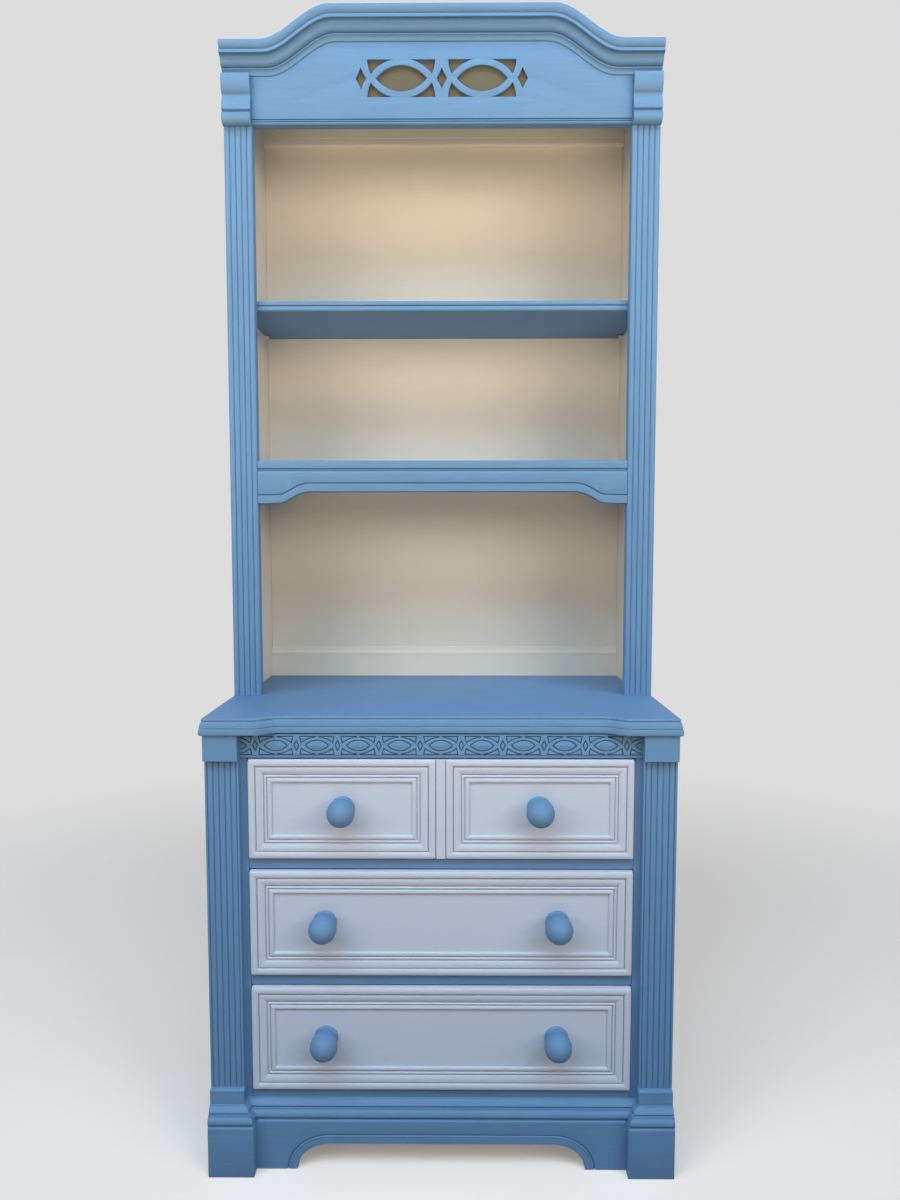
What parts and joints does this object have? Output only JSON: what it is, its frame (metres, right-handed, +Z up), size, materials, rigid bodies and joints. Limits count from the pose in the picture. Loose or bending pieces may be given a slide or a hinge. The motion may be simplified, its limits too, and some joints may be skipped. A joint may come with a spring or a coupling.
{
  "type": "dresser with hutch",
  "caption": "Painted dresser with full-width drawers on a moulded base, and an open bookcase hutch with an arched cornice and pierced frieze standing on its worktop.",
  "frame": {"origin": "on the floor, under the middle of the overall box, knobs included", "axes": "+X to the right as seen from the front, +Y towards the wall behind, +Z up; the drawers open towards -Y"},
  "size_m": [0.762, 0.4716, 1.9263],
  "materials": {
    "blue_paint": "light blue satin paint",
    "cream_paint": "off-white satin paint",
    "inner_paint": "warm off-white satin paint",
    "bare_pine": "bare pine"
  },
  "bodies": {
    "dresser": {"dresser_top": "blue_paint", "case_side_left": "blue_paint", "case_side_right": "blue_paint", "case_back": "bare_pine", "case_bottom": "bare_pine", "lower_dust_board": "bare_pine", "upper_dust_board": "bare_pine", "case_stile_left": "blue_paint", "case_stile_right": "blue_paint", "bottom_rail": "blue_paint", "lower_drawer_rail": "blue_paint", "upper_drawer_rail": "blue_paint", "top_rail": "blue_paint", "pilaster_left": "blue_paint", "pilaster_right": "blue_paint", "cap_block_left": "blue_paint", "cap_block_right": "blue_paint", "plinth_block_left": "blue_paint", "plinth_block_right": "blue_paint", "base_moulding": "blue_paint", "foot_block_left": "blue_paint", "foot_block_right": "blue_paint", "front_skirt": "blue_paint", "carved_band": "blue_paint", "hutch_side_left": "inner_paint", "hutch_side_right": "inner_paint", "hutch_back": "inner_paint", "hutch_roof": "inner_paint", "hutch_hanging_rail": "inner_paint", "hutch_back_rail": "inner_paint", "hutch_stile_left": "blue_paint", "hutch_stile_right": "blue_paint", "lower_shelf": "blue_paint", "upper_shelf": "blue_paint", "shelf_apron": "blue_paint", "cornice": "blue_paint", "capital_left": "blue_paint", "capital_right": "blue_paint", "frieze_panel": "blue_paint", "frieze_backing": "inner_paint", "frieze_rail": "blue_paint"},
    "top_drawer": {"top_drawer_front": "cream_paint", "top_drawer_moulding_left": "cream_paint", "top_drawer_moulding_right": "cream_paint", "top_drawer_box": "bare_pine", "top_drawer_bottom": "bare_pine", "top_drawer_knob_left": "blue_paint", "top_drawer_knob_right": "blue_paint"},
    "middle_drawer": {"middle_drawer_front": "cream_paint", "middle_drawer_moulding": "cream_paint", "middle_drawer_box": "bare_pine", "middle_drawer_bottom": "bare_pine", "middle_drawer_knob_left": "blue_paint", "middle_drawer_knob_right": "blue_paint"},
    "bottom_drawer": {"bottom_drawer_front": "cream_paint", "bottom_drawer_moulding": "cream_paint", "bottom_drawer_box": "bare_pine", "bottom_drawer_bottom": "bare_pine", "bottom_drawer_knob_left": "blue_paint", "bottom_drawer_knob_right": "blue_paint"}
  },
  "joints": [
    {"name": "top_drawer_slide", "type": "slide", "parent": "dresser", "child": "top_drawer", "axis": [0, -1, 0], "range_m": [0, 0.33]},
    {"name": "middle_drawer_slide", "type": "slide", "parent": "dresser", "child": "middle_drawer", "axis": [0, -1, 0], "range_m": [0, 0.33]},
    {"name": "bottom_drawer_slide", "type": "slide", "parent": "dresser", "child": "bottom_drawer", "axis": [0, -1, 0], "range_m": [0, 0.33]}
  ]
}
